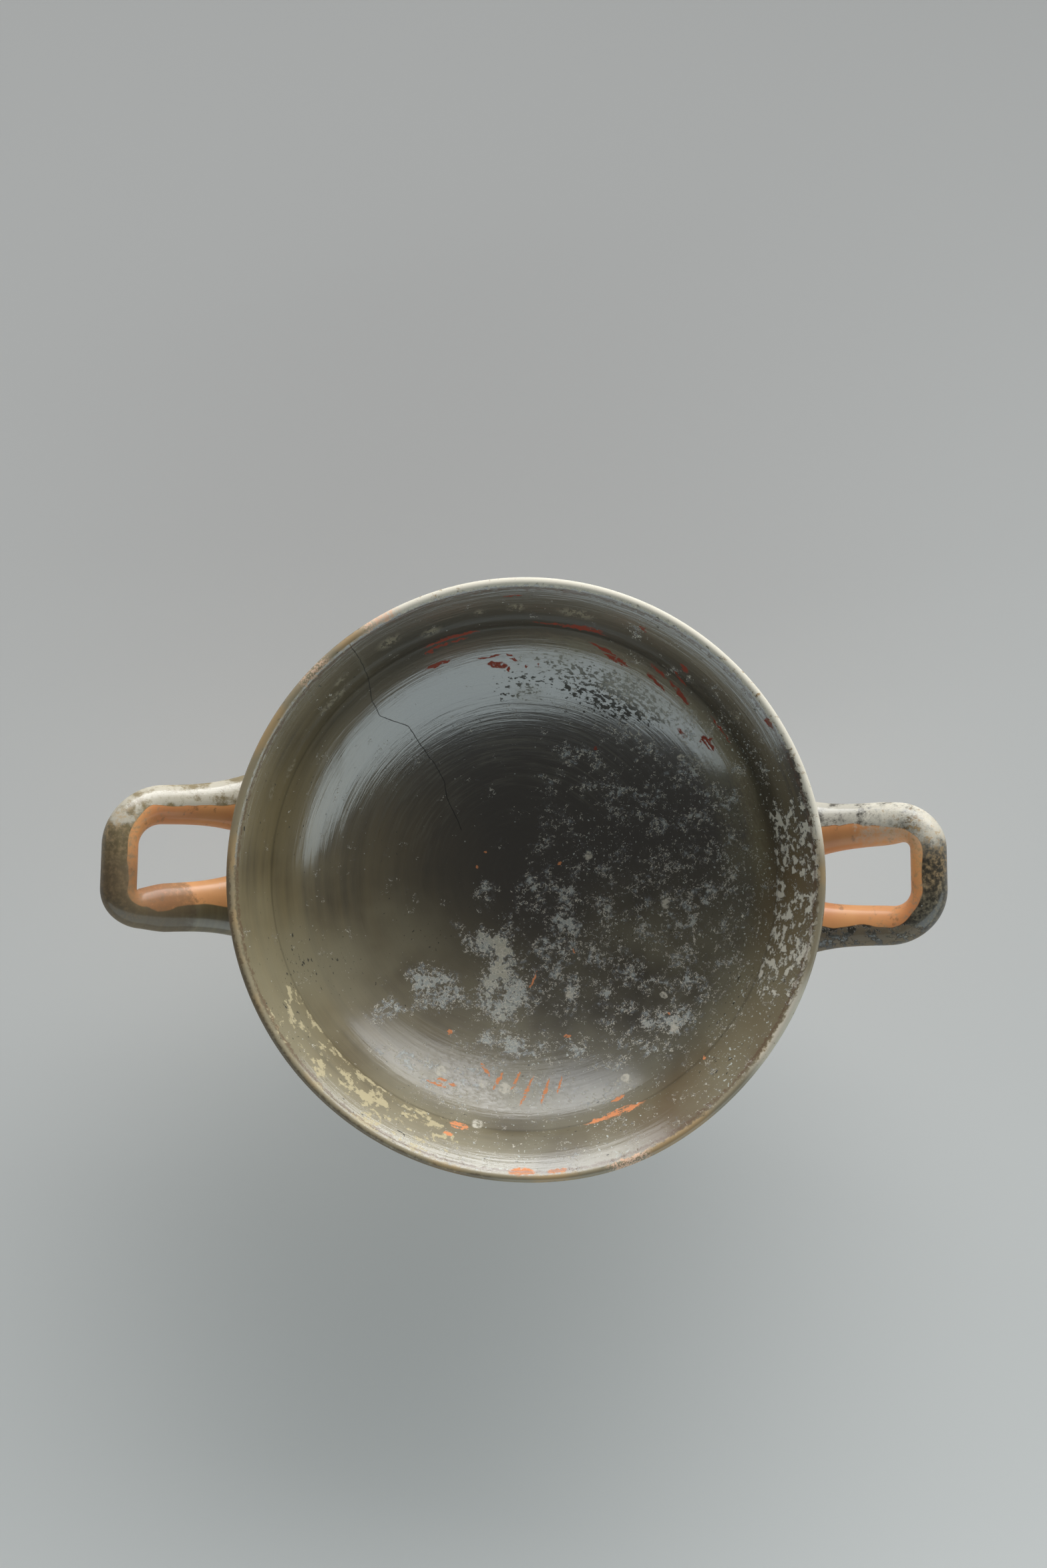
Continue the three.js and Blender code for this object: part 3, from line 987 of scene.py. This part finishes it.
    def lip(self, surface):
        """Crust, chalk and scuffs on the inside of the lip."""
        n = self.nodes
        worms = self.streaks(26, 3.0, 7, seed=11) * 0.65 + self.fine * 0.35
        crust = (worms - n.blend(n.attribute("crust"), 0.70, 0.50)).rise(0, 0.04)
        surface.lay(crust * 0.85, CHALK, 0.9, 0, 0.22)
        patches = self.streaks(13, 5.0, 7, seed=12) * 0.65 + self.fine * 0.35
        cream = (patches - n.blend(n.attribute("cream"), 0.72, 0.52)).rise(0, 0.04)
        surface.lay(cream * 0.75, CREAM, 0.85, 0)
        scuffs = n.attribute("scuffs") * (self.fine + (worms - 0.5) * 0.8).rise(0.45, 0.55)
        surface.lay(scuffs * 0.75, SCUFF, 0.8, 0.1)
        gap = n.math("ABSOLUTE", self.seen.radius - RIDGE_RADIUS, 0)
        surface.lay(gap.fall(0.1, 0.35) * self.inside * 0.25, RIDGE_SHADE)

    def specks(self, surface):
        """Crumbs and dust of lime, small and irregular."""
        n = self.nodes
        crumbs = n.noise(self.point, 0.9, 3, 0.6, seed=10) + (self.broad - 0.5) * 0.25
        cover = (crumbs + n.attribute("crumbs") * 0.10).rise(0.76, 0.79)
        surface.lay(cover * self.inside * 0.8, LIME_THICK, 0.9, 0)
        dust = n.dots(n.vector("ADD", self.point, (11, 5, 3)), 3.1, 0.28, 0.5)
        surface.lay(dust * 0.5, LIME_THICK, 0.9, 0)

    def marks(self, surface):
        """Chips and scratches through the gloss: orange clay, and red where it was misfired."""
        n = self.nodes
        ragged = Seen(n, n.shaken(self.point, 1.6, 0.4, 4, seed=1))
        spots = ragged.marks(ROUND_SPOTS, 0.25) * self.inside
        surface.lay(spots * self.fine.rise(0.35, 0.55) * 0.8, CHALK, 0.85, 0)
        stranded = (self.brush + self.fine).rise(0.86, 0.96)
        orange = ragged.marks(ORANGE_MARKS) * self.inside
        surface.lay(orange * stranded, CHIP_CLAY, 0.85, 0)
        red = ragged.marks(RED_MARKS) * self.inside
        surface.lay(red * stranded, RED_CLAY, 0.8, 0)

    def crack(self, surface):
        """A hairline crack from the rim across the bowl, paler beside it on the lip."""
        n = self.nodes
        gap = Seen(n, n.shaken(self.point, 3, 0.22, seed=13)).line(CRACK)
        beside = gap.fall(0.6, 1.5) * self.seen.radius.rise(76, 78) * self.inside
        surface.lay(beside * 0.25, WORN_GLAZE_AND_SHEEN)
        surface.lay(gap.fall(0.07, 0.20) * self.inside * 0.85, CRACK_DARK, 0.8, 0)

    def rim(self, surface):
        """The rim is worn to tan clay, with chalk on top, partly a painted highlight on the side facing
        the key light, and a few fresh chips.
        """
        n = self.nodes
        edge = n.attribute("from_rim") + (self.fine - 0.5) * 5
        worn = edge.rise(-1.6, -0.6) * edge.fall(1.4, 2.8)
        tan = n.mix(self.broad.rise(0.42, 0.58), RIM_TAN, RIM_GREY)
        surface.lay(worn * 0.8, tan, 0.7, 0.1)
        line = edge.rise(-2.9, -2.3) * edge.fall(-1.9, -1.3) * self.fine.rise(0.34, 0.5)
        surface.lay(line * 0.6, RIM_LINE, 0.7, 0.2)
        # Chalk along the rim's crest, partly a painted highlight on the side facing the key light.
        chalk = n.attribute("rim_chalk_and_highlight") * edge.rise(-1.4, -0.5) * edge.fall(2.2, 3.8)
        surface.lay(chalk * (self.fine + self.broad * 0.4).rise(0.50, 0.62), CHALK, 0.9, 0)
        # Darker brown on the outside of the rim along its lower-left part.
        dark = n.attribute("rim_outside_darker") * edge.rise(0.2, 0.8) * edge.fall(3, 5)
        surface.lay(dark * 0.6, DARK_BROWN, 0.7, 0.1)
        chips = n.attribute("rim_chips") * edge.rise(-1.4, -0.8) * edge.fall(1.8, 2.8)
        crumbly = (self.fine + (self.grain - 0.5) * 0.6).rise(0.46, 0.54)
        surface.lay(chips * crumbly, n.mix(self.grain, FRESH_CLAY, CHALK), 0.9, 0)

    def handles(self, surface):
        """Black outside and clay inside the loops, with a hand-painted edge between."""
        n = self.nodes
        inner, bar = n.attribute("inner"), n.attribute("bar")
        dusty = n.noise(self.point, 6, 6, 0.66, seed=15)
        surface.lay(self.handle, None, 0.40, 0.32)
        worn = (dusty + (self.grain - 0.5) * 0.2).rise(0.52, 0.68) * self.handle
        surface.lay(worn * 0.4, HANDLE_WEAR, 0.6, 0.2)
        wave = n.noise(self.point, 13, 2, 0.4, seed=14) + (self.fine - 0.5) * 0.05
        clay = (inner - bar * 0.42 + (wave - 0.5) * 0.8).rise(0.0, 0.06) * self.handle
        # Clay mottled with its own colour in shade: partly random tone, partly painted shade.
        mottled = n.mix(self.broad.rise(0.35, 0.85), CLAY, CLAY_IN_SHADE)
        mottled = n.mix(self.fine.rise(0.5, 0.8) * 0.25, mottled, FRESH_CLAY)
        surface.lay(clay, mottled, 0.5, 0.10)
        surface.lay(clay * dusty.rise(0.60, 0.68) * 0.45, DARK_BROWN)
        painted = (1 - clay) * self.handle
        # Chalk on the handles' upper arms, partly a painted highlight on their tops, which face the key
        # light.
        chalk = n.attribute("handle_chalk_and_highlight") * painted * (dusty + (self.grain - 0.5) * 0.12)
        surface.lay(chalk.rise(0.38, 0.56) * 0.62, CHALK, 0.7, 0.15, 0.05)
        crust = n.attribute("handle_dirt") * painted * (dusty + (self.fine - 0.5) * 0.6)
        surface.lay(crust.rise(0.44, 0.50) * 0.7, HANDLE_CRUST, 0.9, 0, 0.20)

    def outside(self, surface):
        """Plainer gloss outside, worn to clay on the resting ring and bare in the foot's hollow."""
        n = self.nodes
        out = (1 - self.inside) * (1 - self.handle)
        low = (self.height + (self.fine - 0.5) * 1.6).fall(0.5, 1.1)
        bare = n.most(low, n.attribute("hollow")) * out
        # Bare clay mottled with its own colour in shade: partly random tone, partly painted shade.
        surface.lay(bare, n.mix(self.broad.rise(0.4, 0.6), CLAY, CLAY_IN_SHADE), 0.75, 0)
        scuffed = (self.streaks(9, 3, 6, seed=16) + (self.fine - 0.5) * 0.5).rise(0.68, 0.74)
        surface.lay(scuffed * out * 0.5, CREAM, 0.8, 0.2)

    def build(self):
        surface = self.glaze()
        self.worn_patches(surface)
        self.outside(surface)
        self.handles(surface)
        self.deposit(surface)
        self.lip(surface)
        self.specks(surface)
        self.marks(surface)
        self.crack(surface)
        self.rim(surface)
        surface.finish()
        shader = self.nodes.shader.inputs
        for name, value in GLOSS.items():
            shader[name].default_value = value
        return self.nodes.material


# ---------------------------------------------------------------- stage, lights and camera


def floor():
    mesh = bpy.data.meshes.new("floor")
    half = FLOOR_HALF
    corners = [(-half, -half, 0), (half, -half, 0), (half, half, 0), (-half, half, 0)]
    mesh.from_pydata(corners, [], [(0, 1, 2, 3)])
    obj = bpy.data.objects.new("floor", mesh)
    bpy.context.scene.collection.objects.link(obj)
    paper = bpy.data.materials.new("pale_paper")
    paper.use_nodes = True
    shader = paper.node_tree.nodes["Principled BSDF"]
    shader.inputs["Base Color"].default_value = PAPER
    shader.inputs["Roughness"].default_value = 0.9
    mesh.materials.append(paper)


def area_light(name, place, target, size, radiance, colour, spread):
    """A soft panel at place facing target; radiance is how bright it is seen from straight ahead."""
    light = bpy.data.lights.new(name, "AREA")
    light.shape = "RECTANGLE"
    light.size, light.size_y = size
    half = math.radians(spread) / 2
    light.energy = radiance * math.pi * size[0] * size[1] * (1 - half / math.tan(half))
    light.color = colour
    light.spread = 2 * half
    obj = bpy.data.objects.new(name, light)
    obj.location = place
    obj.rotation_euler = (Vector(target) - Vector(place)).to_track_quat("-Z", "Y").to_euler()
    obj.visible_camera = False
    bpy.context.scene.collection.objects.link(obj)


def lights():
    for name, panel in PANELS.items():
        area_light(name, *panel)
    world = bpy.data.worlds.new("room")
    world.use_nodes = True
    world.node_tree.nodes["Background"].inputs["Color"].default_value = (1, 1, 1, 1)
    world.node_tree.nodes["Background"].inputs["Strength"].default_value = ROOM_LIGHT
    bpy.context.scene.world = world


def camera():
    """Looks down into the cup, a little from the left and from above in the picture."""
    data = bpy.data.cameras.new("camera")
    data.lens = LENS
    data.sensor_width = SENSOR_WIDTH
    obj = bpy.data.objects.new("camera", data)
    rim = Vector((0, 0, HEIGHT * MM))
    sideways = Vector(CAMERA_SIDEWAYS)
    drop = math.sqrt(CAMERA_DISTANCE**2 - sideways.length_squared)
    obj.location = rim + Vector((sideways.x, sideways.y, drop))
    aim = rim + Vector(CAMERA_AIM)
    forward = (aim - obj.location).normalized()
    right = forward.cross(Vector((0, 1, 0))).normalized()
    up = right.cross(forward)
    obj.rotation_euler = Matrix((right, up, -forward)).transposed().to_euler()
    bpy.context.scene.collection.objects.link(obj)
    bpy.context.scene.camera = obj


obj = cup()
obj.data.materials.clear()
obj.data.materials.append(CupFinish().build())
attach(obj, "root")
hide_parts("kylix")
floor()
lights()
camera()
bpy.context.scene.view_settings.view_transform = "Standard"
